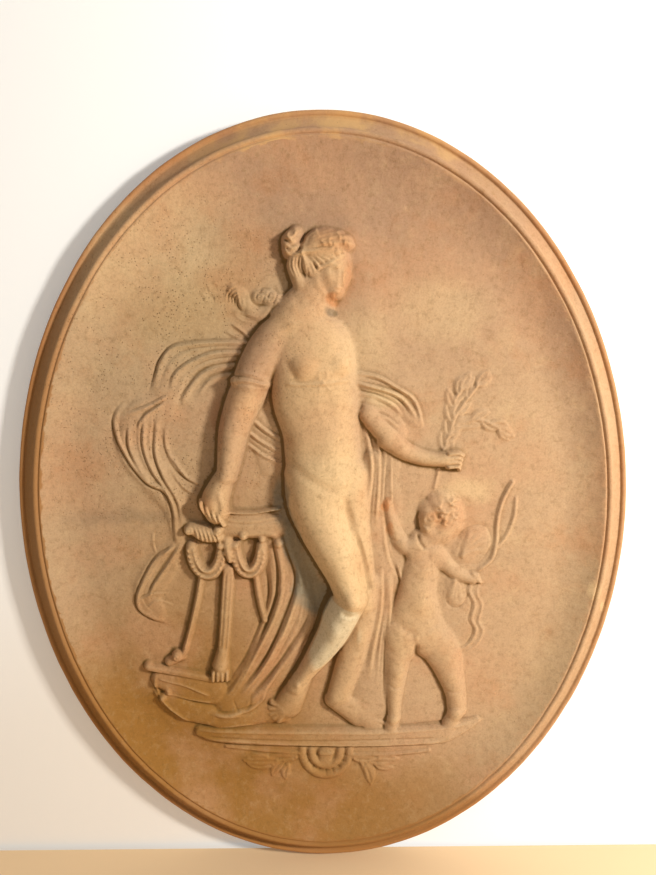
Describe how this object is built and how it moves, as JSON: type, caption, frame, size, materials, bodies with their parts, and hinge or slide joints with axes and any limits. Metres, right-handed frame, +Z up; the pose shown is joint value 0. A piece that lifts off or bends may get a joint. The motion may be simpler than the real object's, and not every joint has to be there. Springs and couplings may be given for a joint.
{
  "type": "decorative wall plaque",
  "caption": "Oval fired-clay wall plaque with a moulded rim and a relief of a standing draped figure at a tripod altar and a winged child with a bow.",
  "frame": {"origin": "middle of the flat back, which lies against the wall", "axes": "+Y out of the back into the wall, so the relief faces -Y; +Z up, along the oval's long axis; +X to the viewer's right"},
  "size_m": [0.592, 0.05, 0.75],
  "materials": {
    "fired_clay": "matt, unglazed fired clay with darker grooves"
  },
  "bodies": {
    "root": {"plaque": "fired_clay"}
  },
  "joints": []
}
